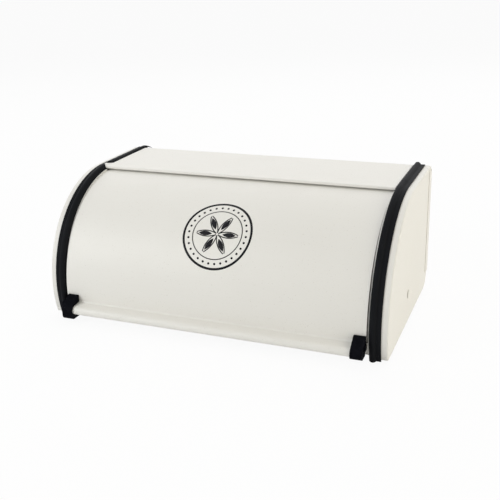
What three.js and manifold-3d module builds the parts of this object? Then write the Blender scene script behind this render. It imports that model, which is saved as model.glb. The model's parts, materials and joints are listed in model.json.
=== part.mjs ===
// Roll-top bread box: a folded steel body, two side panels with rubber edge trims,
// and a curved door that swings up under the flat top on two pivot pins.
// Millimetres, +Z up, +X to the right of someone who faces the door, the door at -Y.
// Every piece is drawn from the rear plane (y = 0) and from the lower edge of the side
// panels (z = 0), and the last lines move the whole box onto its feet.
import * as THREE from 'three';
import { mergeVertices } from 'three/addons/utils/BufferGeometryUtils.js';
import Module from 'manifold-3d';

const wasm = await Module();
wasm.setup();

// Whole box
const boxWidth = 345;
const crownHeight = 132.3;
const frontDepth = 189.3;
const archCentreHeight = 25.5;
const sheet = 0.7;
const gap = 0.3;
const seamGap = 0.2;
const overrun = 25;

// Folded body: floor, back and flat top in one sheet
const topRecess = 1.9;
const topRearBend = 8;
const floorRearBend = 16;
const sillSetback = 10.9;
const sillHeight = 11.5;
const sillHem = 6;
const sillBend = 1.5;
const sillRelief = 1;
const sillReliefRun = 6;
const noseOverhang = 10;
const noseDrop = 3.3;
const noseHem = 1.9;
const noseBend = 1.5;
const hemGap = 0.3;
const hemBend = 0.8;
const lapWidth = 11;
const cornerRound = 3;
const railDrop = 13.5;
const railTurn = 8.5;
const railStart = 9;
const railSetback = 5;
const tabLength = 13;
const tabReach = 6;

// Side panels
const edgeBend = 2;
const flangeInset = 3.3;
const flangeReach = 14;

// Rubber edge trims
const trimInset = 17.8;
const bulgeWidth = 6.5;
const bulgeRound = 3.1;
const lipWidth = 4.4;
const lipProud = 1;
const trimDepth = 6.4;
const jawWidth = 8.3;
const webWidth = 2.6;
const trimRear = 1;
const trimTail = 2.6;

// Door
const doorInset = 3.5;
const doorCentreAhead = 1.75;
const doorCentreBelow = 2.5;
const doorSideGap = 1.8;
const curlRadius = 1.05;
const curlClearance = 0.4;
const lipRootHeight = 16.4;
const lipSlope = THREE.MathUtils.degToRad(5);
const lipRootBend = 2;
const lipReach = 7.3;
const noseRollHeight = 10.8;
const noseRollRadius = 4.3;
const lipReturn = 4;

// Door cheeks
const cheekRecess = 0.3;
const cheekLow = THREE.MathUtils.degToRad(3);
const cheekHigh = THREE.MathUtils.degToRad(80);
const cheekFlange = 8;
const bossRadius = 10;

// Rubber clips on the ends of the lip
const clipWidth = 11;
const clipInset = 0.2;
const clipWall = 2.5;
const clipTop = 23.5;
const clipHook = 6.1;
const clipEndWall = 1.4;
const nubReach = 1.4;
const nubHeight = 5;
const nubLength = 6;
const nubLow = 12.5;

// Pivots
const pivotAhead = 16.25;
const pivotAbove = 6;
const pinRadius = 2.5;
const pinFit = 0.3;
const headRadius = 4.4;
const headProud = 1.5;
const washerRadius = 7;
const washerThickness = 0.7;
const bushRadius = 6;
const nutRadius = 6;
const nutThickness = 1.4;
const pinTail = 0.8;

// Feet
const footHeight = 3;
const footRadius = 7;
const footNeck = 2.5;
const footBevel = 0.8;
const footBulb = 4;
const footBulbHeight = 2.2;
const footInset = 24;
const footSetback = 15.4;
const footRear = 26;

// Facets
const archSteps = 34;
const bendSteps = 4;
const curlSteps = 9;
const roundSteps = 32;
const gridSteps = 1024;
const archStart = THREE.MathUtils.degToRad(90);
const archEnd = THREE.MathUtils.degToRad(-20);

// Places worked out from the sizes above. Outlines are drawn in (y, z), so x holds y here.
const halfWidth = boxWidth / 2;
const panelOuter = halfWidth - sheet - seamGap;
const panelInner = panelOuter - sheet;
const archRadius = crownHeight - archCentreHeight;
const archCentre = new THREE.Vector2(archRadius - frontDepth, archCentreHeight);
const doorCentre = new THREE.Vector2(archCentre.x - doorCentreAhead, archCentre.y - doorCentreBelow);
const doorRadius = archRadius - doorInset;
const pivot = new THREE.Vector2(doorCentre.x - pivotAhead, doorCentre.y + pivotAbove);
const trimInner = halfWidth - trimInset;
const topHalfWidth = trimInner - gap;
const doorHalfWidth = trimInner - doorSideGap;
const flangeEdge = panelOuter - flangeReach;
const topHeight = crownHeight - topRecess;
const noseDepth = noseOverhang - archCentre.x;
const sillDepth = frontDepth - sillSetback;
const hemWidth = 2 * sheet + hemGap;
const flangeHeight = crownHeight - flangeInset;
const trimOuter = trimInner + bulgeWidth + lipWidth;
const noseRoll = new THREE.Vector2(-frontDepth - lipReach, noseRollHeight);
const overallDepth = noseRollRadius + clipWall - noseRoll.x;

const enamel = { color: 0xeceae2, roughness: 0.38, metalness: 0.1 };
const rubber = { color: 0x26272b, roughness: 0.6, metalness: 0 };
const zinc = { color: 0xb4b6b8, roughness: 0.35, metalness: 0.9 };
const nylon = { color: 0xe4e2da, roughness: 0.55, metalness: 0 };

// Outlines

// Points on an arc. The angle is 0 at the front (-Y) and 90 degrees at the top.
function arc(centre, radius, from, to, steps) {
  return Array.from({ length: steps + 1 }, (_, i) => {
    const angle = THREE.MathUtils.lerp(from, to, i / steps);
    return new THREE.Vector2(centre.x - radius * Math.cos(angle), centre.y + radius * Math.sin(angle));
  });
}

function onArc(centre, radius, angle) {
  return arc(centre, radius, angle, angle, 1)[0];
}

// A line of straight runs, with each corner that has a radius rounded.
function rounded(corners) {
  return corners.flatMap(([y, z, radius = 0], i) => {
    const at = new THREE.Vector2(y, z);
    if (radius === 0) return [at];
    const towards = ([py, pz]) => new THREE.Vector2(py, pz).sub(at).normalize();
    const before = towards(corners.at(i - 1));
    const after = towards(corners[(i + 1) % corners.length]);
    const half = Math.acos(before.dot(after)) / 2;
    const middle = before.clone().add(after).setLength(radius / Math.sin(half)).add(at);
    const first = before.clone().multiplyScalar(radius / Math.tan(half)).add(at).sub(middle);
    const turn = Math.sign(before.cross(after)) * -1 * (Math.PI - 2 * half);
    return Array.from({ length: bendSteps + 1 }, (_, k) =>
      first.clone().rotateAround(new THREE.Vector2(), (turn * k) / bendSteps).add(middle));
  });
}

// The outline of a sheet whose outer face follows the line, with its metal on the left of it.
function bentSheet(line, thickness = sheet) {
  const inner = line.map((at, i) => {
    const runs = [[i - 1, i], [i, i + 1]].filter(([a, b]) => line[a] && line[b]);
    const normals = runs.map(([a, b]) => {
      const run = line[b].clone().sub(line[a]).normalize();
      return new THREE.Vector2(-run.y, run.x);
    });
    const sum = normals[0].clone().add(normals[normals.length - 1]);
    return at.clone().addScaledVector(sum, (2 * thickness) / sum.lengthSq());
  });
  return new THREE.Shape([...line, ...inner.reverse()]);
}

// The outline of the box's side: flat top and round front, run on past the rear and the floor.
function archOutline(inset) {
  const front = arc(archCentre, archRadius - inset, archStart, archEnd, archSteps);
  const last = front[front.length - 1];
  return new THREE.Shape([
    new THREE.Vector2(overrun, crownHeight - inset), ...front, new THREE.Vector2(overrun, last.y)]);
}

function onSide(shape, side) {
  return new THREE.Shape(shape.getPoints().map(({ x, y }) => new THREE.Vector2(side * x, y)));
}

function circle(radius, centre = new THREE.Vector2()) {
  return new THREE.Shape().absarc(centre.x, centre.y, radius, 0, 2 * Math.PI);
}

// Solids

// A closed geometry as a solid. Its corners are put on a fine grid, so that faces that are
// meant to lie in one plane do.
function solid(geometry) {
  geometry.deleteAttribute('normal');
  geometry.deleteAttribute('uv');
  const corners = geometry.attributes.position.array;
  corners.forEach((value, i) => { corners[i] = Math.round(value * gridSteps) / gridSteps; });
  const merged = mergeVertices(geometry);
  const index = Array.from(merged.index.array);
  const faces = index.filter((_, i) => {
    const first = i - (i % 3);
    return new Set(index.slice(first, first + 3)).size === 3;
  });
  return new wasm.Manifold(new wasm.Mesh({
    numProp: 3,
    vertProperties: new Float32Array(merged.attributes.position.array),
    triVerts: new Uint32Array(faces),
  }));
}

// An outline in (y, z) made solid between two distances from the middle, on one side of the box.
function across(shape, near, far, side = 1, round = 0) {
  const geometry = new THREE.ExtrudeGeometry(shape, {
    depth: far - near - 2 * round,
    curveSegments: roundSteps,
    bevelEnabled: round > 0,
    bevelThickness: round,
    bevelSize: round,
    bevelSegments: bendSteps,
  });
  geometry.translate(0, 0, round + (side > 0 ? near : -far));
  geometry.applyMatrix4(new THREE.Matrix4().makeBasis(
    new THREE.Vector3(0, 1, 0), new THREE.Vector3(0, 0, 1), new THREE.Vector3(1, 0, 0)));
  return solid(geometry);
}

// An outline in (x, z) made solid from one depth to another, both counted from the rear plane.
function alongDepth(shape, nearDepth, farDepth) {
  const geometry = new THREE.ExtrudeGeometry(shape, {
    depth: farDepth - nearDepth, curveSegments: roundSteps, bevelEnabled: false });
  geometry.rotateX(Math.PI / 2);
  geometry.translate(0, -nearDepth, 0);
  return solid(geometry);
}

// A block between two distances from the middle, on one side of the box
function block(side, near, far, y0, y1, z0, z1) {
  const geometry = new THREE.BoxGeometry(far - near, y1 - y0, z1 - z0);
  geometry.translate((side * (near + far)) / 2, (y0 + y1) / 2, (z0 + z1) / 2);
  return solid(geometry);
}

// A turned piece, from [place along its axis, radius] pairs
function turned(profile) {
  return new THREE.LatheGeometry(profile.map(([place, radius]) => new THREE.Vector2(radius, place)), roundSteps);
}

function ring(from, to, bore, radius) {
  return turned([[from, bore], [from, radius], [to, radius], [to, bore], [from, bore]]);
}

// A turned piece set on the pivot's line, its places counted outwards from the middle of the box
function onPivot(geometry, side) {
  geometry.rotateZ(-Math.PI / 2);
  if (side < 0) geometry.rotateY(Math.PI);
  geometry.translate(0, pivot.x, pivot.y);
  return solid(geometry);
}

const box = new THREE.Group();

function node(name, body, look) {
  const { vertProperties, triVerts } = body.getMesh();
  const geometry = new THREE.BufferGeometry();
  geometry.setAttribute('position', new THREE.BufferAttribute(vertProperties, 3));
  geometry.setIndex(new THREE.BufferAttribute(triVerts, 1));
  geometry.computeVertexNormals();
  const mesh = new THREE.Mesh(geometry, new THREE.MeshStandardMaterial(look));
  mesh.name = name;
  box.add(mesh);
}

const sides = [['left', -1], ['right', 1]];

// The space of the whole box, seen from the side, with the floor's rear bend
function boxSpace(inset) {
  return new THREE.Shape(rounded([
    [-sillDepth - overrun, inset],
    [-inset, inset, floorRearBend - inset],
    [-inset, crownHeight + overrun],
    [-sillDepth - overrun, crownHeight + overrun],
  ]));
}

// Folded body: the floor with its sill, the back, and the flat top with its nose
const floorReach = panelInner - seamGap;
const backTop = flangeHeight - seamGap;
const backJoin = topHeight - railDrop;
const floorLine = rounded([
  [-sillDepth + hemWidth, sillHeight - sillHem],
  [-sillDepth + hemWidth, sillHeight, hemBend],
  [-sillDepth, sillHeight, hemBend],
  [-sillDepth, 0, sillBend],
  [0, 0, floorRearBend],
  [0, floorRearBend * 2],
]).slice(0, -1);
const topLine = rounded([
  [0, backJoin],
  [0, topHeight, topRearBend],
  [-noseDepth, topHeight, noseBend],
  [-noseDepth, topHeight - noseDrop, hemBend],
  [-noseDepth + hemWidth, topHeight - noseDrop, hemBend],
  [-noseDepth + hemWidth, topHeight - noseDrop + noseHem],
]);

// The back reaches out behind both side panels, with its upper corners rounded as theirs are.
const back = alongDepth(new THREE.Shape(rounded([
  [-halfWidth, floorRearBend],
  [halfWidth, floorRearBend],
  [halfWidth, backTop, cornerRound],
  [topHalfWidth, backTop],
  [topHalfWidth, backJoin],
  [-topHalfWidth, backJoin],
  [-topHalfWidth, backTop],
  [-halfWidth, backTop, cornerRound],
])), 0, sheet);

// The front left corner of the top has a short tab that lies over the trim.
const tabLow = flangeHeight + gap;
const cornerTab = across(new THREE.Shape(rounded([
  [-noseDepth + tabLength, topHeight],
  [-noseDepth, topHeight, hemBend],
  [-noseDepth, tabLow],
  [-noseDepth + tabLength, tabLow],
])), topHalfWidth, topHalfWidth + tabReach, -1);

function footHole(side, depth) {
  const geometry = new THREE.CylinderGeometry(footNeck + gap, footNeck + gap, overrun, roundSteps);
  geometry.rotateX(Math.PI / 2);
  geometry.translate(side * (halfWidth - footInset), -depth, 0);
  return solid(geometry);
}

let body = across(bentSheet(floorLine), -floorReach, floorReach)
  .add(across(bentSheet(topLine), -topHalfWidth, topHalfWidth))
  .add(back)
  .add(cornerTab);
for (const [, side] of sides) {
  const lap = block(side, halfWidth - sheet, halfWidth, -lapWidth, 0, floorRearBend, backTop - cornerRound);
  const floorFlange = block(side, floorReach - sheet, floorReach, -sillDepth, -floorRearBend, 0, railTurn);
  const relief = block(side, floorReach - sillRelief, boxWidth,
    -sillDepth - overrun, -sillDepth + sillReliefRun, -overrun, backJoin / 2);
  const rail = alongDepth(onSide(bentSheet([
    new THREE.Vector2(floorReach, backJoin - railTurn),
    new THREE.Vector2(floorReach, backJoin),
    new THREE.Vector2(topHalfWidth, backJoin),
    new THREE.Vector2(topHalfWidth, topHeight - sheet / 2),
  ]), side), railStart, noseDepth - railSetback);
  body = body.add(lap).add(floorFlange).subtract(relief).add(rail);
  for (const depth of [sillDepth - footSetback, footRear]) body = body.subtract(footHole(side, depth));
}
node('folded_body', body, enamel);

// Side panels: a flat face, a rounded edge and an inward flange along the top and the front
for (const [name, side] of sides) {
  const start = flangeEdge - overrun;
  const outer = across(archOutline(flangeInset + edgeBend), start, panelOuter, side, edgeBend);
  const inner = across(archOutline(flangeInset + edgeBend), start - overrun, panelInner, side, edgeBend - sheet);
  const kept = across(boxSpace(sheet + seamGap), flangeEdge, boxWidth, side)
    .add(across(boxSpace(0), flangeEdge, boxWidth, side)
      .subtract(block(side, start, boxWidth, -floorRearBend, overrun, -overrun, crownHeight + overrun)));
  const hole = across(circle(pinRadius + pinFit, pivot), start, boxWidth, side);
  node(`side_panel_${name}`, outer.subtract(inner).intersect(kept).subtract(hole), enamel);
}

// Edge trims: a rubber channel pressed over the flange, with a rounded bulge and a thin outer lip
const trimEnd = -Math.asin((archCentreHeight + trimTail) / archRadius);
for (const [name, side] of sides) {
  const bulge = across(archOutline(bulgeRound), trimInner, trimInner + bulgeWidth, side, bulgeRound);
  const lip = across(archOutline(flangeInset - lipProud), trimInner + bulgeWidth - bulgeRound, trimOuter, side);
  const inside = across(archOutline(trimDepth), 0, boxWidth, side);
  const slot = across(archOutline(flangeInset - gap), trimInner + webWidth, boxWidth, side)
    .subtract(across(archOutline(flangeInset + sheet + gap), 0, boxWidth, side));
  const underLip = across(archOutline(flangeInset + sheet), trimInner + jawWidth, boxWidth, side);
  const kept = across(new THREE.Shape([
    archCentre,
    new THREE.Vector2(-trimRear, archCentre.y),
    new THREE.Vector2(-trimRear, crownHeight + overrun),
    new THREE.Vector2(-boxWidth, crownHeight + overrun),
    onArc(archCentre, boxWidth, trimEnd),
  ]), trimInner / 2, boxWidth, side);
  let trim = bulge.add(lip).subtract(inside).subtract(slot).subtract(underLip).intersect(kept);
  if (side < 0) {
    trim = trim.subtract(block(side, 0, topHalfWidth + tabReach + gap,
      -noseDepth - gap, -noseDepth + tabLength + gap, tabLow - gap, crownHeight + overrun));
  }
  node(`edge_trim_${name}`, trim, rubber);
}

// Door: a curved sheet with a curl along its upper edge and a folded lip along its lower one
const curlHeight = doorRadius + curlRadius;
const curlFront = noseDepth - hemWidth - curlClearance;
const curlAngle = Math.acos((curlFront - curlRadius - sheet + doorCentre.x) / curlHeight);
const curlCentre = onArc(doorCentre, curlHeight, curlAngle);
const slopeAlong = new THREE.Vector2(Math.cos(lipSlope), Math.sin(lipSlope));
const slopeOut = new THREE.Vector2(-Math.sin(lipSlope), Math.cos(lipSlope));
const rootAngle = Math.asin((lipRootHeight + lipRootBend - doorCentre.y) / doorRadius);

// The outer face of the door's lower end, from the root of the lip round to the end of its return,
// with room left all round it
function lipLine(room) {
  const foot = onArc(doorCentre, doorRadius + room, rootAngle);
  const rollStart = noseRoll.clone().addScaledVector(slopeOut, noseRollRadius + room);
  const corner = rollStart.clone().addScaledVector(slopeAlong, (foot.x - rollStart.x) / slopeAlong.x);
  const root = rounded([[foot.x, foot.y], [corner.x, corner.y, lipRootBend - room], [rollStart.x, rollStart.y]]);
  const roll = arc(noseRoll, noseRollRadius + room, archStart - lipSlope, -archStart, curlSteps);
  const end = new THREE.Vector2(noseRoll.x + lipReturn + room, noseRoll.y - noseRollRadius - room);
  return [...root.slice(1, -1), ...roll, end];
}

const curl = arc(curlCentre, curlRadius, curlAngle - archStart, curlAngle + 2 * archStart, curlSteps);
const curve = arc(doorCentre, doorRadius, curlAngle, rootAngle, archSteps).slice(1);
const doorLine = [...curl, ...curve, ...lipLine(0)];
const lipFoot = onArc(doorCentre, doorRadius, rootAngle);
let door = across(bentSheet(doorLine), -doorHalfWidth, doorHalfWidth);
for (const [, side] of sides) {
  door = door.subtract(block(side, doorHalfWidth - clipEndWall - clipInset, boxWidth,
    -boxWidth, 0, -overrun, lipFoot.y));
}
node('door_panel', door, enamel);

// Door cheeks: a sector plate at each end of the door, flanged under the curved sheet
const cheekOuter = doorHalfWidth - cheekRecess;
const cheekRadius = doorRadius - sheet - seamGap;
for (const [name, side] of sides) {
  const rim = arc(doorCentre, cheekRadius, cheekHigh, cheekLow, archSteps);
  const boss = arc(pivot, bossRadius, -archStart, -3 * archStart, curlSteps);
  const blank = across(new THREE.Shape([...rim, ...boss]), cheekOuter - cheekFlange, cheekOuter, side);
  const insideRim = arc(doorCentre, cheekRadius - sheet, cheekHigh + cheekLow, -cheekLow, archSteps);
  const hollow = across(new THREE.Shape([...insideRim, new THREE.Vector2(0, insideRim[archSteps].y),
    new THREE.Vector2(0, insideRim[0].y)]), 0, cheekOuter - sheet, side);
  const hole = across(circle(pinRadius + pinFit, pivot), 0, boxWidth, side);
  node(`door_cheek_${name}`, blank.subtract(hollow).subtract(hole), enamel);
}

// Lip clips: rubber caps pushed over the ends of the lip, each with a nub on its outer side
for (const [name, side] of sides) {
  const seat = onArc(doorCentre, doorRadius + clipInset, Math.asin((clipTop - doorCentre.y) / doorRadius));
  const lipRoom = lipLine(clipInset);
  const lipEnd = lipRoom[lipRoom.length - 1];
  const hookEnd = noseRoll.x + clipHook;
  const wallTop = lipFoot.y - gap;
  const face = arc(doorCentre, doorRadius + clipInset, cheekHigh, rootAngle, archSteps);
  const outline = new THREE.Shape([
    seat,
    new THREE.Vector2(seat.x - clipWall, clipTop),
    ...arc(noseRoll, noseRollRadius + clipWall, archStart / 2, -archStart, curlSteps),
    new THREE.Vector2(hookEnd, noseRoll.y - noseRollRadius - clipWall),
    new THREE.Vector2(hookEnd, noseRoll.y),
    new THREE.Vector2(seat.x, noseRoll.y),
  ]);
  const doorSpace = new THREE.Shape([
    new THREE.Vector2(overrun, clipTop + overrun),
    ...face,
    ...lipRoom,
    new THREE.Vector2(lipEnd.x, noseRoll.y),
    new THREE.Vector2(overrun, noseRoll.y),
  ]);
  const aboveWall = new THREE.Shape([
    new THREE.Vector2(overrun, clipTop + overrun),
    ...face,
    new THREE.Vector2(lipFoot.x - clipInset, wallTop),
    new THREE.Vector2(overrun, wallTop),
  ]);
  const outer = doorHalfWidth;
  const clip = (far) => across(outline, outer - clipWidth, far, side)
    .subtract(across(doorSpace, 0, outer - clipEndWall, side))
    .subtract(across(aboveWall, 0, boxWidth, side));
  const nub = clip(outer + nubReach).intersect(
    block(side, 0, boxWidth, noseRoll.x, noseRoll.x + nubLength, nubLow, nubLow + nubHeight));
  node(`lip_clip_${name}`, clip(outer).add(nub), rubber);
}

// Pivots: a pin through the side panel, with a bush, a washer, the cheek and a push nut on it
for (const [name, side] of sides) {
  const headSeat = panelOuter + seamGap;
  const bore = pinRadius + pinFit;
  const washerNear = cheekOuter + seamGap;
  const bushNear = washerNear + washerThickness + seamGap;
  const nutFar = cheekOuter - sheet - seamGap;
  const nutNear = nutFar - nutThickness;
  const dome = arc(new THREE.Vector2(), 1, 0, archStart, bendSteps)
    .map(({ x, y }) => [headSeat + headProud * y, -x * headRadius]);
  dome[dome.length - 1][1] = 0;
  const pin = turned([[nutNear - pinTail, 0], [nutNear - pinTail, pinRadius], [headSeat, pinRadius], ...dome]);
  node(`pivot_pin_${name}`, onPivot(pin, side), zinc);
  node(`spacer_bush_${name}`, onPivot(ring(bushNear, panelInner - seamGap, bore, bushRadius), side), nylon);
  node(`pivot_washer_${name}`, onPivot(ring(washerNear, washerNear + washerThickness, bore, washerRadius), side),
    nylon);
  node(`push_nut_${name}`, onPivot(ring(nutNear, nutFar, pinRadius + seamGap, nutRadius), side), zinc);
}

// Feet: rubber discs with a neck through the floor and a bulb above it
for (const [name, side] of sides) {
  for (const [end, depth] of [['front', sillDepth - footSetback], ['rear', footRear]]) {
    const foot = turned([
      [-footHeight, 0], [-footHeight, footRadius - footBevel], [footBevel - footHeight, footRadius],
      [-seamGap, footRadius], [-seamGap, footNeck], [sheet + seamGap, footNeck], [sheet + seamGap, footBulb],
      [sheet + seamGap + footBulbHeight, footNeck], [sheet + seamGap + footBulbHeight, 0],
    ]);
    foot.rotateX(Math.PI / 2);
    foot.translate(side * (halfWidth - footInset), -depth, 0);
    node(`foot_${end}_${name}`, solid(foot), rubber);
  }
}

box.position.set(0, overallDepth / 2, footHeight);

export default box;
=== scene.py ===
import json
import math

import bmesh
import bpy
from mathutils import Matrix, Vector


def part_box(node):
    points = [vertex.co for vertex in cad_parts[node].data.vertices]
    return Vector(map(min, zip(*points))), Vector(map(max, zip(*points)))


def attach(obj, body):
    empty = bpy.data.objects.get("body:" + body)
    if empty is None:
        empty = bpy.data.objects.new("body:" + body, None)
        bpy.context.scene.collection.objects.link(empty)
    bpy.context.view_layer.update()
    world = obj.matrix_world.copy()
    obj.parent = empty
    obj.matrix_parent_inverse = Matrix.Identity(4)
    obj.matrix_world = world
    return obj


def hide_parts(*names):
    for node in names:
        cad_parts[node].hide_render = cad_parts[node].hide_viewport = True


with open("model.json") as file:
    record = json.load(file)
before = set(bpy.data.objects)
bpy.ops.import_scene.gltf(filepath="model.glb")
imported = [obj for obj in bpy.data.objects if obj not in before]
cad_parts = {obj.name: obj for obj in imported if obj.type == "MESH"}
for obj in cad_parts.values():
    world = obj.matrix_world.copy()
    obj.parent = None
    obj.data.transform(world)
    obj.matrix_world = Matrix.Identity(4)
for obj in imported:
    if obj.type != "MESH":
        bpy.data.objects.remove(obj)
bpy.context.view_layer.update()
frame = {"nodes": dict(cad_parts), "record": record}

# FOLDED BODY
# One blank of 0.7 mm steel with the floor, the back and the flat top, bent on a press and enamelled
# cream white. Its front edges are hemmed, the back laps round onto the side panels, and a small tab
# at the front left corner lies over the left trim.

# Places are in millimetres: x from the middle, y from this piece's rear plane and z from its
# underside.
millimetre = 0.001
rear_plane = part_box("folded_body")[1].y
lower_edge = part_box("folded_body")[0].z

# Points that lie within a weld of each other are joined. A hair is the slack of a place that is
# looked for, and a margin the slack of a range of places.
weld = 0.002
hair = 0.01
margin = 0.1
# The narrow row of faces at both ends of a flat run, which lets its middle shade flat
row = 0.25
# Edges that turn by more than this are broken a little, as paint and moulds do.
sharp_degrees = 40

sheet = 0.7
hem = 0.85
half_length = 172.5
floor_half = 170.7
floor_bend = 16
flange = 8.5
flange_from = -172.65
flange_round = 1
sill_depth = 178.4
sill_top = 10.65
sill_foot = 5.5
sill_bend = 1.5
rear_bend = 8
ear_height = 125.8
ear_radius = 3
lap_bend = 1
lap_reach = 10
lap_draw = 0.17
top_half = 154.4
top_height = 130.4
slit = 0.3
nose_depth = 92.5
nose_bend = 1.5
nose_row = 0.1
nose_drop = 2.7
nose_return = 0.85
rail_from = -9
rail_end = -87.5
rail_drop = 13.5
rail_round = 0.9
tab_rear = -78
tab_front_reach = 1.8
tab_widening = 7
tab_skew = 3
tab_corner = 1.2


def only_verts(parts):
    return [part for part in parts if isinstance(part, bmesh.types.BMVert)]


def only_edges(parts):
    return [part for part in parts if isinstance(part, bmesh.types.BMEdge)]


def ends_of(edges):
    return list(dict.fromkeys(vert for edge in edges for vert in edge.verts))


def lying(edges, keep):
    """The edges that have both ends where a test says."""
    return [edge for edge in edges if all(keep(vert.co) for vert in edge.verts)]


def drawn_on(made, verts):
    """The new edges that join new points."""
    return [edge for edge in only_edges(made) if all(vert in verts for vert in edge.verts)]


def pull(mesh, edges, move):
    """Draws edges out by a vector and gives the new ones."""
    made = bmesh.ops.extrude_edge_only(mesh, edges=edges)["geom"]
    new = only_verts(made)
    bmesh.ops.translate(mesh, vec=move, verts=new)
    return drawn_on(made, new)


def swing(mesh, parts, centre, axis, degrees, steps, closed=False):
    """Sweeps points and edges round an axis and gives the last of them."""
    return bmesh.ops.spin(mesh, geom=parts, cent=centre, axis=axis, angle=math.radians(degrees),
                          steps=steps, use_merge=closed, use_duplicate=False)["geom_last"]


def round_edges(mesh, edges, radius, steps=3):
    bmesh.ops.bevel(mesh, geom=edges, offset=radius, offset_type="OFFSET", affect="EDGES",
                    segments=steps, profile=0.5, material=-1)


def round_corner(mesh, place, radius, steps=8):
    corner = min(mesh.verts, key=lambda vert: (vert.co - Vector(place)).length)
    bmesh.ops.bevel(mesh, geom=[corner], offset=radius, offset_type="OFFSET", affect="VERTICES",
                    segments=steps, profile=0.5, material=-1)


class Fold:
    """A sheet or an outline that is drawn from its leading edge on, in runs and bends."""

    def __init__(self, points, along, axis=(1, 0, 0)):
        self.mesh = bmesh.new()
        self.along = Vector(along)
        self.axis = Vector(axis)
        self.lead = [self.mesh.verts.new(point) for point in points]
        self.lead += [self.mesh.edges.new(pair) for pair in zip(self.lead, self.lead[1:])]

    def start(self):
        """The first point of the leading edge."""
        return only_verts(self.lead)[0]

    def run(self, *lengths):
        """Straight on, with a row of points after each length."""
        for length in lengths:
            edges = only_edges(self.lead)
            if edges:
                made = bmesh.ops.extrude_edge_only(self.mesh, edges=edges)["geom"]
            else:
                made = bmesh.ops.extrude_vert_indiv(self.mesh, verts=self.lead)["verts"]
            new = only_verts(made)
            bmesh.ops.translate(self.mesh, vec=self.along * length, verts=new)
            self.lead = new + drawn_on(made, new)
        return self

    def flat(self, length):
        """A straight run with a narrow row at both ends."""
        return self.run(row, length - 2 * row, row)

    def bend(self, radius, degrees, steps=8):
        """A bend round the axis, to its left for a positive angle."""
        inward = self.axis.cross(self.along) * math.copysign(radius, degrees)
        self.lead = swing(self.mesh, self.lead, self.start().co + inward, self.axis, degrees, steps)
        self.along = Matrix.Rotation(math.radians(degrees), 3, self.axis) @ self.along
        return self

    def to(self, y, z):
        """Straight to a place in (y, z)."""
        step = Vector((self.start().co.x, y, z)) - self.start().co
        self.along = step.normalized()
        return self.run(step.length)

    def aim(self, *along):
        self.along = Vector(along)
        return self

    def close(self, first):
        """Joins the last point to another one, which lies in the same place."""
        bmesh.ops.weld_verts(self.mesh, targetmap={self.start(): first})


def piece(name, mesh, body, finish, nodes=(), out=None, wall=0, edge=0.2, edge_steps=2,
          side=1):
    """Makes a mesh one of the object's pieces. A mesh of the left side is drawn on the right and
    mirrored, and out is the way in which the finished piece's furthest face looks."""
    bmesh.ops.scale(mesh, vec=(side, 1, 1), verts=mesh.verts)
    bmesh.ops.remove_doubles(mesh, verts=mesh.verts, dist=weld)
    bmesh.ops.recalc_face_normals(mesh, faces=mesh.faces)
    if out:
        far = max(mesh.faces, key=lambda face: face.calc_center_median().dot(Vector(out)))
        if far.normal.dot(Vector(out)) < 0:
            bmesh.ops.reverse_faces(mesh, faces=mesh.faces)
    bmesh.ops.scale(mesh, vec=(millimetre,) * 3, verts=mesh.verts)
    bmesh.ops.translate(mesh, vec=(0, rear_plane, lower_edge), verts=mesh.verts)
    data = bpy.data.meshes.new(name)
    mesh.to_mesh(data)
    mesh.free()
    data.shade_smooth()
    data.materials.append(finish.owner)
    made = bpy.data.objects.new(name, data)
    bpy.context.scene.collection.objects.link(made)
    if wall:
        solid = made.modifiers.new("wall", "SOLIDIFY")
        solid.thickness = wall * millimetre
        solid.offset = -1
        solid.use_even_offset = True
    if edge:
        bevel = made.modifiers.new("edge", "BEVEL")
        bevel.width = edge * millimetre
        bevel.segments = edge_steps
        bevel.limit_method = "ANGLE"
        bevel.angle_limit = math.radians(sharp_degrees)
        bevel.harden_normals = True
    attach(made, body)
    if nodes:
        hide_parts(*nodes)


class Value:
    """A socket of a finish, so that sums on it can be written as they are read."""

    def __init__(self, finish, socket):
        self.finish = finish
        self.socket = socket

    def maths(self, operation, other):
        return self.finish.node("Math", {"operation": operation}, {0: self, 1: other})

    def __add__(self, other):
        return self.maths("ADD", other)

    def __mul__(self, other):
        return self.maths("MULTIPLY", other)

    __radd__ = __add__
    __rmul__ = __mul__


class Finish:
    """A material or a sky whose nodes are made by one method."""

    def __init__(self, owner):
        self.owner = owner
        owner.use_nodes = True
        self.tree = owner.node_tree
        self.tree.nodes.clear()

    def node(self, kind, settings, inputs, output=0):
        node = self.tree.nodes.new("ShaderNode" + kind)
        for setting, value in settings.items():
            setattr(node, setting, value)
        for key, value in inputs.items():
            if isinstance(value, Value):
                self.tree.links.new(value.socket, node.inputs[key])
            else:
                node.inputs[key].default_value = value
        return Value(self, node.outputs[output]) if node.outputs else None

    def noise(self, scale, detail=2.0, stretch=(1, 1, 1)):
        """A cloud pattern from 0 to 1, its scale in clouds per metre."""
        spot = self.node("TexCoord", {}, {}, "Object")
        place = self.node("Mapping", {}, {"Vector": spot, "Scale": stretch})
        return self.node("TexNoise", {}, {"Vector": place, "Scale": scale, "Detail": detail})

    def spread(self, value, low, high):
        """Stretches a part of a pattern over 0 to 1, smoothly."""
        return self.node("MapRange", {"interpolation_type": "SMOOTHSTEP"}, {
            "Value": value, "From Min": low, "From Max": high})

    def blend(self, share, first, second):
        return self.node("Mix", {"data_type": "RGBA"}, {0: share, 6: first, 7: second}, 2)

    def bump(self, height, strength, distance):
        return self.node("Bump", {}, {
            "Strength": strength, "Distance": distance, "Height": height})

    def surface(self, inputs):
        shader = self.node("BsdfPrincipled", {}, inputs)
        self.node("OutputMaterial", {}, {"Surface": shader})


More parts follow.
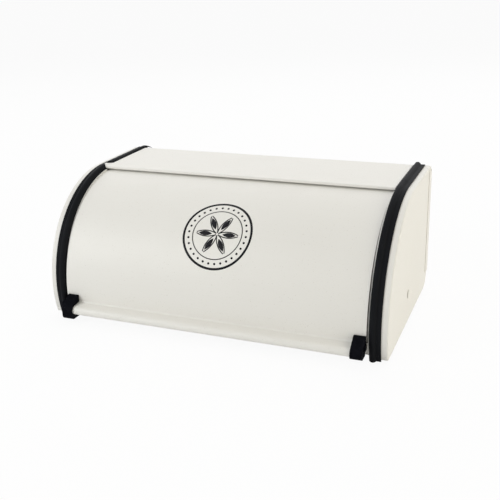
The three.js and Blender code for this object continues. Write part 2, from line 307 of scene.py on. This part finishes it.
# Satin enamel on steel: slightly uneven in tone, with an orange peel, faint drawn lines along
# the box's length, small dark specks in the coat and a few rubbed places where it is handled.
cream = (0.865, 0.852, 0.812, 1)
warm_cream = (0.835, 0.817, 0.768, 1)
speck_brown = (0.42, 0.38, 0.3, 1)

enamel = Finish(bpy.data.materials.new("cream enamel"))
tone = enamel.noise(9, 3.0)
drawn = enamel.noise(60, 3.0, (0.35, 9, 9))
peel = enamel.noise(420, 1.0)
specks = enamel.spread(enamel.noise(1300, 0.0), 0.76, 0.84)
rubbed = enamel.spread(enamel.noise(22, 4.0, (1, 2, 2)), 0.55, 0.75)
matt_dust = enamel.noise(2600, 0.0)
enamel.surface({
    "Base Color": enamel.blend(
        specks * 0.35, enamel.blend(tone * 0.7 + drawn * 0.3, cream, warm_cream), speck_brown),
    "Roughness": 0.42 + drawn * 0.1 + rubbed * 0.1 + matt_dust * 0.06,
    "Normal": enamel.bump(peel + drawn * 0.25, 0.12, 0.0002),
    "Coat Weight": 0.08,
    "Coat Roughness": 0.35,
})

# The blank is drawn from the sill's hem over the floor and up the back.
lap_line = half_length - lap_bend
ear_centre = lap_line - ear_radius
slit_end = top_half + slit
nose_end = nose_bend - nose_depth
columns = [-lap_line, -ear_centre, -slit_end, -top_half, top_half, slit_end, ear_centre, lap_line]
body = Fold([(x, 2 * hem - sill_depth, sill_foot) for x in columns], (0, 0, 1))
body.flat(sill_top - sill_foot).bend(hem, 180).flat(sill_top - sill_bend).bend(sill_bend, 90, 5)
body.run(row, flange_from + sill_depth - sill_bend - row, -flange_from - floor_bend - row, row)
body.bend(floor_bend, 90, 14).flat(top_height - rear_bend - floor_bend)

# The middle goes on as the top; the corners beside it end in rounded ears.
mesh = body.mesh
last_row = only_edges(body.lead)
beside = lying(last_row, lambda at: abs(at.x) > slit_end - margin)
middle = lying(last_row, lambda at: abs(at.x) < top_half + margin)
raised = pull(mesh, beside, (0, 0, ear_height - top_height + rear_bend))
body.lead = ends_of(middle) + middle
body.bend(rear_bend, 90, 12)
body.run(-rail_from - rear_bend, rail_from - tab_rear, tab_rear - rail_end,
         rail_end - nose_end - row, row)
body.bend(nose_bend, 90, 5).run(nose_row, nose_drop - hem - nose_bend - nose_row)
body.bend(hem, 180).flat(nose_return)
for side in (-1, 1):
    corner = lying(raised, lambda at: side * at.x > ear_centre - margin)
    turned = swing(mesh, corner + ends_of(corner), (side * ear_centre, 0, ear_height), (0, 1, 0),
                   -side * 90, 6)
    pull(mesh, only_edges(turned), (-side * (ear_centre - slit_end), 0, 0))
for vert in mesh.verts:
    if abs(vert.co.x) > lap_line - margin and vert.co.z < floor_bend - margin:
        vert.co.x = math.copysign(floor_half, vert.co.x)

for side in (-1, 1):
    # The lap round the rear edge of the side panel
    rear = lying(mesh.edges, lambda at: abs(at.x - side * lap_line) < hair and at.y > -hair
                 and floor_bend - margin < at.z < ear_height + hair)
    lap = swing(mesh, rear + ends_of(rear), (side * lap_line, -lap_bend, 0), (0, 0, 1),
                -side * 90, 4)
    lap = pull(mesh, only_edges(lap), (0, -row, 0))
    pull(mesh, lap, (-side * lap_draw, row - lap_reach, 0))
    # The rail that stiffens the top's side
    rail_to = tab_rear if side < 0 else rail_end
    border = lying(mesh.edges, lambda at: abs(at.x - side * top_half) < hair
                   and at.z > top_height - hair and rail_to - margin < at.y < rail_from + margin)
    down = pull(mesh, border, (0, 0, -rail_drop))
    outward = pull(mesh, down, (side * (floor_half - top_half), 0, 0))
    pull(mesh, outward, (0, 0, -flange))
    round_edges(mesh, down + outward, rail_round)
    # The floor's flange
    floor_side = lying(mesh.edges, lambda at: abs(at.x - side * floor_half) < hair
                       and abs(at.z) < hair and flange_from - margin < at.y < margin - floor_bend)
    pull(mesh, floor_side, (0, 0, flange))
    round_edges(mesh, floor_side, flange_round)

# The tab is narrow at the nose and widens backwards.
tab = lying(mesh.edges, lambda at: abs(at.x + top_half) < hair
            and at.z > top_height - nose_drop + hem - hair
            and (at.y < nose_end + hair
                 or at.z > top_height - hair and at.y < tab_rear + margin))
for vert in ends_of(pull(mesh, tab, (-tab_front_reach, 0, 0))):
    back = max(0, vert.co.y - nose_end) / (tab_rear - nose_end)
    vert.co += Vector((-tab_widening * back, -tab_skew * back, 0))
tab_side = top_half + tab_front_reach + tab_widening
round_corner(mesh, (-tab_side, tab_rear - tab_skew, top_height), tab_corner, 4)
piece("folded_sheet", mesh, "housing", enamel, ["folded_body"], (0, 0, 1), sheet)

# SIDE PANELS
# A pressed end panel of the same enamelled sheet on each side: flat outside, with a tight edge
# and an inward flange along the top and the curved front, spot welded inside the body's laps.
panel_outer = 171.6
panel_rear = -0.9
panel_row = 0.3
edge_bend = 1.3
flange_edge = 157.6
flange_height = 129.0
arch_y = -82.5
arch_z = 25.5
arch_centre = (0, arch_y, arch_z)
sides = (("left", -1), ("right", 1))


def cut(mesh, place, facing, drop_outer=False):
    """Cuts all faces along a plane."""
    bmesh.ops.bisect_plane(mesh, geom=mesh.verts[:] + mesh.edges[:] + mesh.faces[:],
                           plane_co=place, plane_no=facing, clear_outer=drop_outer)


for name, side in sides:
    panel = Fold([(flange_edge, arch_y, flange_height)], (1, 0, 0), (0, 1, 0))
    panel.flat(panel_outer - edge_bend - flange_edge).bend(edge_bend, 90, 6)
    panel.run(panel_row, flange_height - edge_bend - arch_z - panel_row)
    mesh = panel.mesh
    profile = mesh.verts[:] + mesh.edges[:]
    pull(mesh, mesh.edges[:], (0, panel_rear - arch_y, 0))
    pull(mesh, lying(mesh.edges, lambda at: abs(at.z - arch_z) < hair), (0, 0, -arch_z))
    swing(mesh, profile, arch_centre, (1, 0, 0), 180, 120)
    cut(mesh, (0, 0, 0), (0, 0, -1), drop_outer=True)
    bmesh.ops.remove_doubles(mesh, verts=mesh.verts, dist=weld)
    round_corner(mesh, (panel_outer, panel_rear, 0), floor_bend + panel_rear)
    piece(f"end_panel_{name}", mesh, "housing", enamel, [f"side_panel_{name}"],
          (side, 0, 0), sheet, side=side)

# EDGE TRIMS
# An extruded channel of black rubber on each side, pressed over the panel's flange: a round bulge
# towards the middle and a thin lip outside. The left one is pressed down under the corner tab.
trim_inner = 154.7
trim_outer = 165.6
trim_rear = -1.0
trim_tail = 2.6
crown = 132.3
crown_flat = 0.3
bulge = 3.1
bulge_wrap = 70
groove = 0.4
lip_edge = 0.35
trim_depth = 6.4
web = 2.6
jaw = 8.3
slot_floor = 4.3
lip_top = 2.3
# Under the corner tab the left trim is pressed down to the tab's room. The tab's outline is given
# from above and mirrored, by a place on each edge and the way that the edge faces.
tab_room = 129.4
tab_gap = 0.3
tab_step = 0.05
tab_slack = 0.02
tab_sides = [((0, -nose_depth - tab_gap, 0), (0, -1, 0)),
             ((top_half + tab_front_reach + tab_gap, -nose_depth, 0), (0.88, -0.475, 0)),
             ((top_half, tab_rear + tab_gap, 0), (0.32, 0.947, 0))]
# The left trim's rear end is pressed over towards the middle, further in each row of points.
press_from = 9
press_rows = (press_from, 7.5, 6, 4.5, 3)
press_foot = 130.55
press_reach = 9
press_width = 5.5
press_growth = 1.5
press_sink = 0.55

rubber_black = (0.01, 0.0107, 0.0125, 1)
rubber_dusty = (0.018, 0.0187, 0.021, 1)

rubber = Finish(bpy.data.materials.new("black rubber"))
grain = rubber.noise(1500)
flow = rubber.noise(90, 3.0)
dust = rubber.spread(rubber.noise(25, 5.0), 0.52, 0.75)
rubber.surface({
    "Base Color": rubber.blend(dust * 0.5 + flow * 0.3, rubber_black, rubber_dusty),
    "Roughness": 0.4 + dust * 0.15 + grain * 0.08,
    "Specular IOR Level": 0.02,
    "Normal": rubber.bump(grain + flow * 0.5, 0.25, 0.0001),
})

for name, side in sides:
    section = Fold([(trim_inner, arch_y, crown - trim_depth)], (0, 0, 1), (0, 1, 0))
    section.run(trim_depth - bulge).bend(bulge, 90).run(crown_flat)
    section.bend(bulge, bulge_wrap, 7).bend(groove, -bulge_wrap, 4)
    section.run(trim_outer - lip_edge - section.start().co.x).bend(lip_edge, 180, 6)
    section.run(trim_outer - lip_edge - trim_inner - web)
    section.aim(0, 0, -1).run(slot_floor - lip_top - 2 * lip_edge).aim(1, 0, 0).run(jaw - web)
    section.aim(0, 0, -1).run(trim_depth - slot_floor).aim(-1, 0, 0).run(jaw)
    mesh = section.mesh
    bmesh.ops.remove_doubles(mesh, verts=mesh.verts, dist=hair)
    profile = mesh.verts[:] + mesh.edges[:]
    rear_end = pull(mesh, mesh.edges[:], (0, trim_rear - arch_y, 0))
    bmesh.ops.edgeloop_fill(mesh, edges=rear_end)
    tail_turn = math.degrees(math.asin((arch_z + trim_tail) / (crown - arch_z)))
    tail = swing(mesh, profile, arch_centre, (1, 0, 0), 90 + tail_turn, 96)
    bmesh.ops.edgeloop_fill(mesh, edges=only_edges(tail))
    if side < 0:
        for place, facing in tab_sides:
            for step in (0, tab_step):
                cut(mesh, Vector(place) + Vector(facing) * step, facing)
        for vert in mesh.verts:
            if all((vert.co - Vector(place)).dot(Vector(facing)) < tab_slack
                   for place, facing in tab_sides):
                vert.co.z = min(vert.co.z, tab_room)
        for depth in press_rows:
            cut(mesh, (0, -depth, 0), (0, 1, 0))
        for vert in mesh.verts:
            if vert.co.y > -press_from and vert.co.z > press_foot:
                share = max(0, 1 - (vert.co.x - trim_inner) / press_width)
                way = (1 + vert.co.y / press_from) ** press_growth
                inside = max(0, rear_bend + vert.co.y)
                sink = press_sink * (rear_bend - math.sqrt(rear_bend ** 2 - inside ** 2))
                vert.co += Vector((-press_reach, 0, -sink)) * way * share
    piece(f"rubber_trim_{name}", mesh, "housing", rubber, [f"edge_trim_{name}"],
          edge=0.25, side=side)

# GUARD STRIPS
# A hemmed strip of enamelled sheet, spot welded under each panel's flange round the trim's jaw. It
# turns up between the trim and the door's end and closes the gap there.
strip_wall = 1.2
strip_root = 168
strip_weld = 2.4
strip_seat = 128.1
strip_under = 125.5
strip_inner = 154.5
strip_edge = 127.75
strip_bend = 0.8
strip_from = math.radians(5.95)
strip_sweep = 97

for name, side in sides:
    strip = Fold([(strip_root, arch_y, strip_seat)], (-1, 0, 0), (0, 1, 0))
    strip.run(strip_weld).bend(strip_bend, -90, 3)
    strip.run(strip_seat - strip_under - 2 * strip_bend).bend(strip_bend, 90, 3)
    strip.run(strip.start().co.x - strip_bend - strip_inner).bend(strip_bend, 90, 4)
    strip.run(strip_edge - strip_under - strip_bend)
    mesh = strip.mesh
    bmesh.ops.rotate(mesh, cent=arch_centre, verts=mesh.verts,
                     matrix=Matrix.Rotation(strip_from, 3, "X"))
    swing(mesh, mesh.verts[:] + mesh.edges[:], arch_centre, (1, 0, 0), strip_sweep, 90)
    piece(f"guard_strip_{name}", mesh, "housing", enamel, out=(side, 0, 1),
          wall=strip_wall, edge=0.25, side=side)

# DOOR
# A curved sheet with a curl along its upper edge, which catches behind the top's hem, and with
# its lower edge folded forward and rolled into a pull lip. Cream enamel like the body.
door_half = 152.9
door_y = -84.25
door_z = 23.0
door_radius = 103.3
curl_radius = 1.05
curl_turn = 270
curl_gap = 0.4
lip_left = -149.1
lip_right = 151.3
lip_degrees = 5
lip_slope = math.radians(lip_degrees)
root_radius = 2.0
roll_y = -196.6
roll_z = 10.8
roll_radius = 4.3
lip_return = 4.0


def on_door(angle, radius=door_radius):
    """A place on the door in (y, z): the angle is 0 at the front and 90 degrees at the top."""
    return door_y - radius * math.cos(angle), door_z + radius * math.sin(angle)


# The lip starts where its slope, a round root and the door's curve meet.
slope_out = Vector((-math.sin(lip_slope), math.cos(lip_slope)))
slope_along = Vector((-math.cos(lip_slope), -math.sin(lip_slope)))
roll_start = Vector((roll_y, roll_z)) + slope_out * roll_radius
root_angle = math.asin((root_radius - (Vector((door_y, door_z)) - roll_start).dot(slope_out))
                       / (door_radius + root_radius)) - lip_slope
root_centre = Vector(on_door(root_angle, door_radius + root_radius))
lip_run = (roll_start - root_centre).dot(slope_along)

# The curl ends behind the nose's hem.
curl_front = nose_depth - 2 * hem - curl_gap
curl_angle = math.acos((curl_front - curl_radius - sheet + door_y) / (door_radius + curl_radius))
curl_y, curl_z = on_door(curl_angle, door_radius + curl_radius)
start_angle = curl_angle - math.pi / 2
start_y = curl_y - curl_radius * math.cos(start_angle)
start_z = curl_z + curl_radius * math.sin(start_angle)

door = Fold([(-door_half, start_y, start_z), (door_half, start_y, start_z)],
            (0, math.sin(start_angle), math.cos(start_angle)))
door.bend(curl_radius, -curl_turn, 18)
door.bend(door_radius, math.degrees(curl_angle - root_angle), 90)
curved = set(door.mesh.verts)
door.bend(root_radius, lip_degrees + math.degrees(root_angle) - 90, 7)
door.flat(lip_run).bend(roll_radius, 180 - lip_degrees, 16).flat(lip_return)
for vert in door.mesh.verts:
    if vert not in curved:
        vert.co.x = lip_right if vert.co.x > 0 else lip_left
piece("door_sheet", door.mesh, "door", enamel, ["door_panel"], (0, -1, 0), sheet)

# DOOR CHEEKS
# A sector plate of enamelled sheet at each end of the door, flanged and spot welded under the
# curved sheet. It carries the door on its pivot.
pivot_y = -100.5
pivot_z = 29.0
seam = 0.2
cheek_outer = 152.6
cheek_radius = door_radius - sheet - seam
cheek_low = math.radians(3)
cheek_high = math.radians(80)
cheek_flange = 7.8
cheek_hole = 2.8
boss = 10

for name, side in sides:
    cheek = Fold([(cheek_outer, *on_door(cheek_high, cheek_radius))],
                 (0, -math.sin(cheek_high), -math.cos(cheek_high)))
    cheek.bend(cheek_radius, math.degrees(cheek_high - cheek_low), 70)
    cheek.to(pivot_y, pivot_z - boss).aim(0, 1, 0).bend(boss, 180, 18)
    cheek.to(*on_door(cheek_high, cheek_radius))
    mesh = cheek.mesh
    bmesh.ops.remove_doubles(mesh, verts=mesh.verts, dist=hair)
    bmesh.ops.create_circle(mesh, segments=28, radius=cheek_hole, matrix=(
        Matrix.Translation((cheek_outer, pivot_y, pivot_z)) @ Matrix.Rotation(math.pi / 2, 4, "Y")))
    bmesh.ops.triangle_fill(mesh, edges=mesh.edges[:], use_beauty=True, normal=(1, 0, 0))
    rim = lying(mesh.edges, lambda at: abs(math.hypot(at.y - door_y, at.z - door_z)
                                           - cheek_radius) < hair)
    pull(mesh, [edge for edge in rim if edge.is_boundary], (-cheek_flange, 0, 0))
    piece(f"cheek_plate_{name}", mesh, "door", enamel, [f"door_cheek_{name}"],
          (side, 0, 0), sheet, side=side)

# LIP CLIPS
# A moulded cap of black rubber pushed over each end of the lip, with a nub on its outer side
# that rests against the trim. The left one sits further in and hangs lower under the lip.
clip_inner = 141.9
clip_wall = 151.5
clip_outer = 152.9
clip_seat = -187.75
clip_front = -190.25
clip_top = 23.5
clip_room = 0.2
clip_rubber = 2.2
clip_lows = (2.2, 5.9)
clip_shifts = (-2.2, 0)
clip_round = 4
clip_shoulder = 45
clip_nose = roll_y - roll_radius - clip_rubber
hook_end = -190.5
nub_outer = 154.3
nub_root = 0.4
nub_y = -193.6
nub_z = 15
nub_depth = 6
nub_height = 5

clip_black = (0.0035, 0.0037, 0.0055, 1)
clip_bloomed = (0.008, 0.0082, 0.0115, 1)

soft_rubber = Finish(bpy.data.materials.new("soft black rubber"))
bloom = soft_rubber.spread(soft_rubber.noise(140, 4.0), 0.45, 0.8)
soft_rubber.surface({
    "Base Color": soft_rubber.blend(bloom, clip_black, clip_bloomed),
    "Roughness": 0.5 + bloom * 0.15,
    "Specular IOR Level": 0.02,
    "Normal": soft_rubber.bump(soft_rubber.noise(1900), 0.3, 0.0001),
})

inner_root = root_radius - clip_room
seat_angle = math.acos((clip_seat - root_centre.x) / inner_root)
root_start = root_centre + Vector((math.cos(seat_angle), -math.sin(seat_angle))) * inner_root
lip_end = roll_y + lip_return + clip_room
for (name, side), clip_low, shift in zip(sides, clip_lows, clip_shifts):
    # The lip's outline with room round it, closed at the back
    clip = Fold([(clip_wall, *root_start)], (0, -math.sin(seat_angle), -math.cos(seat_angle)))
    mesh = clip.mesh
    first = clip.start()
    clip.bend(inner_root, lip_degrees + math.degrees(seat_angle) - 90, 6)
    clip.run(lip_run).bend(roll_radius + clip_room, 180 - lip_degrees, 14)
    clip.to(lip_end, roll_z - roll_radius - clip_room).to(lip_end, roll_z).to(hook_end, roll_z)
    hook = clip.lead
    clip.to(clip_seat, roll_z)
    behind = clip.start()
    clip.to(*root_start).close(first)
    bmesh.ops.edgeloop_fill(mesh, edges=mesh.edges[:])
    # The cap's outline round it
    clip.lead = hook
    clip.to(hook_end, clip_low).to(clip_nose + clip_round, clip_low).bend(clip_round, -90)
    clip.to(clip_nose, roll_z).bend(roll_radius + clip_rubber, -clip_shoulder, 6)
    clip.to(clip_front, clip_top).to(clip_seat, clip_top).to(*root_start).close(first)
    cup = bmesh.ops.edgeloop_fill(mesh, edges=[edge for edge in mesh.edges
                                               if behind not in edge.verts])["faces"]
    # The end wall, and then the cap itself
    for faces, reach in ((mesh.faces[:], clip_outer - clip_wall), (cup, clip_inner - clip_wall)):
        made = bmesh.ops.extrude_face_region(mesh, geom=faces)["geom"]
        bmesh.ops.translate(mesh, vec=(reach, 0, 0), verts=only_verts(made))
    bmesh.ops.translate(mesh, vec=(shift, 0, 0), verts=mesh.verts)
    # The nub
    nub_inner = clip_outer + shift - nub_root
    bmesh.ops.create_cube(mesh, size=1, matrix=(
        Matrix.Translation(((nub_inner + nub_outer) / 2, nub_y, nub_z))
        @ Matrix.Diagonal((nub_outer - nub_inner, nub_depth, nub_height, 1))))
    piece(f"rubber_clip_{name}", mesh, "door", soft_rubber, [f"lip_clip_{name}"],
          edge=0.5, edge_steps=3, side=side)

# PRINTED ORNAMENT
# A round ornament printed on the door in black ink and fired with the enamel: a ring, a circle
# of dots and a rosette of six petals drawn with a compass.
ornament_x = 3
ornament_angle = math.radians(42.5)
ink_height = 0.06
ink_wall = 0.04
ring_radius = 33.6
ring_width = 2.2
dot_count = 30
dot_circle = 28.8
dot_radius = 1.1
circle_radius = 24.6
circle_width = 0.9
rosette = 22
petal_count = 6
petal_width = 1.0
petal_gap = 3
leaf_middle = 12
leaf_reach = 6.8
leaf_half_width = 2.3

ink_black = (0.006, 0.006, 0.008, 1)
ink_worn = (0.016, 0.016, 0.02, 1)

ink = Finish(bpy.data.materials.new("black ink"))
cover = ink.noise(500, 3.0)
ink.surface({
    "Base Color": ink.blend(cover, ink_black, ink_worn),
    "Roughness": 0.36 + cover * 0.14,
    "Specular IOR Level": 0.1,
})

ornament = bmesh.new()


def stroke(centre, radius, width, start, sweep, steps):
    """A band of ink round a centre, from one angle on, both in degrees."""
    turn = Matrix.Rotation(math.radians(start), 3, "Z")
    line = [ornament.verts.new(Vector((*centre, 0)) + turn @ Vector((radius + half, 0, 0)))
            for half in (-width / 2, width / 2)]
    line.append(ornament.edges.new(line))
    swing(ornament, line, (*centre, 0), (0, 0, 1), sweep, steps, closed=sweep == 360)


stroke((0, 0), ring_radius, ring_width, 0, 360, 144)
stroke((0, 0), circle_radius, circle_width, 0, 360, 120)
petal_turn = 360 / petal_count
for petal in range(petal_count):
    # Two arcs round the petal's tip that stop short of the middle, and a leaf inside the petal
    place = Matrix.Rotation(math.radians(petal_turn * petal), 4, "Z")
    centre = (place @ Vector((rosette, 0, 0))).xy
    for start in (2 * petal_turn, 3 * petal_turn):
        stroke(centre, rosette, petal_width, petal_turn * petal + start + petal_gap,
               petal_turn - 2 * petal_gap, 20)
    leaf = bmesh.ops.create_grid(ornament, x_segments=14, y_segments=2, size=1)["verts"]
    for vert in leaf:
        across = leaf_half_width * vert.co.y * (1 - vert.co.x ** 2)
        vert.co = place @ Vector((leaf_middle + leaf_reach * vert.co.x, across, 0))
for dot in range(dot_count):
    place = (Matrix.Rotation(math.radians(360 / dot_count * dot), 4, "Z")
             @ Matrix.Translation((dot_circle, 0, 0)))
    bmesh.ops.create_circle(ornament, cap_ends=True, segments=18, radius=dot_radius, matrix=place)
for vert in ornament.verts:
    y, z = on_door(ornament_angle + vert.co.y / door_radius, door_radius + ink_height)
    vert.co = (ornament_x + vert.co.x, y, z)
piece("printed_ornament", ornament, "door", ink, out=(0, -1, 0), wall=ink_wall, edge=0)

# PIVOT PINS
# A steel pin through each side panel, with a low domed head outside that is enamelled with the
# panel. The door's cheek hangs on its shank inside.
head_seat = 171.8
head_radius = 4.4
head_edge = 0.25
head_slope = 25
pin_radius = 2.5
pin_round = 0.4
pin_end = 149.5

for name, side in sides:
    pin = Fold([(pin_end, pivot_y, pivot_z)], (0, 0, 1), (0, 1, 0))
    pin.run(pin_radius - pin_round).bend(pin_round, 90, 3).run(head_seat - pin_end - pin_round)
    pin.aim(0, 0, 1).run(head_radius - pin_radius - head_edge).bend(head_edge, 180 - head_slope)
    dome = (pin.start().co.z - pivot_z) / math.sin(math.radians(head_slope))
    pin.bend(dome, head_slope)
    mesh = pin.mesh
    swing(mesh, mesh.verts[:] + mesh.edges[:], (0, pivot_y, pivot_z), (1, 0, 0), 360, 40,
          closed=True)
    piece(f"painted_pin_{name}", mesh, "housing", enamel, [f"pivot_pin_{name}"],
          edge=0.1, side=side)

# BUSHES, WASHERS AND PUSH NUTS
# Nylon rings keep each cheek away from its side panel, and a zinc plated push nut on the pin's end
# holds the row together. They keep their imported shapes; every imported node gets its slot's finish.
zinc_bright = (0.62, 0.63, 0.65, 1)
zinc_tarnished = (0.42, 0.42, 0.41, 1)
nylon_white = (0.78, 0.77, 0.72, 1)
nylon_aged = (0.7, 0.69, 0.64, 1)

zinc = Finish(bpy.data.materials.new("zinc plating"))
crystals = zinc.noise(700)
tarnish = zinc.spread(zinc.noise(160, 4.0), 0.45, 0.75)
zinc.surface({
    "Base Color": zinc.blend(tarnish, zinc_bright, zinc_tarnished),
    "Metallic": 1.0,
    "Roughness": 0.28 + crystals * 0.16 + tarnish * 0.12,
    "Normal": zinc.bump(crystals, 0.15, 0.00005),
})

nylon = Finish(bpy.data.materials.new("natural nylon"))
cloud = nylon.noise(300)
nylon.surface({
    "Base Color": nylon.blend(cloud, nylon_white, nylon_aged),
    "Roughness": 0.42 + cloud * 0.15,
    "Normal": nylon.bump(cloud, 0.2, 0.0001),
})

slot_finish = {"enamel": enamel, "rubber": rubber, "zinc": zinc, "nylon": nylon}
for part in frame["record"]["subparts"]:
    packed = frame["nodes"][part["node"]]
    packed.data.materials.clear()
    packed.data.materials.append(slot_finish[part["material_slot"]].owner)

# FEET
# Four black rubber feet, each pushed through the floor by its neck and held by the bulb above.
# They are moulded from the same soft rubber as the clips.
foot_x = 148.5
foot_depths = (("front", 163), ("rear", 26))
foot_radius = 7
foot_height = 3
foot_gap = 0.2
foot_round = 0.8
pad_round = 0.3
neck = 2.5
neck_height = 1.1
bulb_reach = 1.3
bulb_round = 0.2
bulb_side = 0.3
bulb_slope = (-1.5, 0, 1.7)
bulb_rows = (1, 1.27)

for end, depth in foot_depths:
    for name, side in sides:
        foot = Fold([(foot_x, -depth, -foot_height)], (1, 0, 0), (0, 1, 0))
        foot.run(foot_radius - foot_round).bend(foot_round, -90, 5)
        foot.run(foot_height - foot_round - pad_round - foot_gap).bend(pad_round, -90, 3)
        foot.run(foot_radius - pad_round - neck).aim(0, 0, 1).run(neck_height)
        foot.aim(1, 0, 0).run(bulb_reach).bend(bulb_round, -90, 3).run(bulb_side)
        foot.aim(*bulb_slope).run(*bulb_rows)
        foot.aim(-1, 0, 0).run(foot.start().co.x - foot_x)
        mesh = foot.mesh
        swing(mesh, mesh.verts[:] + mesh.edges[:], (foot_x, -depth, 0), (0, 0, 1), 360, 40,
              closed=True)
        piece(f"rubber_foot_{end}_{name}", mesh, "housing", soft_rubber,
              [f"foot_{end}_{name}"], edge=0.1, side=side)

# STUDIO
# A pale floor that goes on to the horizon, soft lights, and the camera where the photograph was
# taken from.
floor_half_width = 6
paper_white = (0.95, 0.95, 0.95, 1)
white = (1, 1, 1, 1)
floor_glow = 0.93
sky_light = 0.38
lamp_target = (0, 0, 0.07)
# Each lamp's name, place, width, power and colour
lamps = [
    ("top", (-0.3, 0.8, 1.2), 2.0, 9.8, (1, 1, 1)),
    ("right", (1.7, -0.3, 0.7), 1.2, 10.8, (1, 0.94, 0.76)),
    ("left", (-0.95, -1.05, 0.75), 0.6, 8.2, (0.98, 1, 1)),
    ("back", (0.9, 1.4, 0.7), 0.9, 2, (1, 0.98, 0.96)),
]


def looked_at(finish):
    """1 for what the camera or a reflection sees, 0 for the light that falls on the box."""
    return (finish.node("LightPath", {}, {}, "Is Camera Ray")
            + finish.node("LightPath", {}, {}, "Is Glossy Ray"))


floor_mesh = bmesh.new()
bmesh.ops.create_grid(floor_mesh, x_segments=1, y_segments=1, size=floor_half_width)
floor_data = bpy.data.meshes.new("studio_floor")
floor_mesh.to_mesh(floor_data)
floor_mesh.free()
floor = bpy.data.objects.new("studio_floor", floor_data)
bpy.context.scene.collection.objects.link(floor)
paper = Finish(bpy.data.materials.new("white paper"))
paper.node("OutputMaterial", {}, {"Surface": paper.node("MixShader", {}, {
    0: looked_at(paper) * floor_glow,
    1: paper.node("BsdfPrincipled", {}, {"Base Color": paper_white, "Roughness": 0.9}),
    2: paper.node("Emission", {}, {"Color": white, "Strength": 1.0})})})
floor_data.materials.append(paper.owner)

sky = Finish(bpy.data.worlds.new("studio"))
sky.node("OutputWorld", {}, {"Surface": sky.node("MixShader", {}, {
    0: looked_at(sky),
    1: sky.node("Background", {}, {"Color": white, "Strength": sky_light}),
    2: sky.node("Background", {}, {"Color": white, "Strength": 1.0})})})
bpy.context.scene.world = sky.owner

for name, place, size, power, colour in lamps:
    lamp = bpy.data.lights.new(name, "AREA")
    lamp.size = size
    lamp.energy = power
    lamp.color = colour
    holder = bpy.data.objects.new(name, lamp)
    holder.location = place
    way = Vector(lamp_target) - Vector(place)
    holder.rotation_euler = way.to_track_quat("-Z", "Y").to_euler()
    bpy.context.scene.collection.objects.link(holder)

# The camera: its focal length in pixels of the photograph, its place and its angles in degrees
photo_width = 500
focal = 789.275
sensor = 36
turn, tilt, roll = 22.509, 20.636, -2.008
camera_place = Vector((296.451, -789.953, 337.192)) * millimetre
camera = bpy.data.cameras.new("camera")
camera.sensor_width = sensor
camera.lens = focal / photo_width * sensor
viewer = bpy.data.objects.new("camera", camera)
viewer.matrix_world = (Matrix.Translation(camera_place + Vector((0, rear_plane, lower_edge)))
                       @ Matrix.Rotation(math.radians(turn), 4, "Z")
                       @ Matrix.Rotation(math.radians(90 - tilt), 4, "X")
                       @ Matrix.Rotation(math.radians(roll), 4, "Z"))
bpy.context.scene.collection.objects.link(viewer)
bpy.context.scene.camera = viewer
bpy.context.scene.view_settings.view_transform = "Standard"
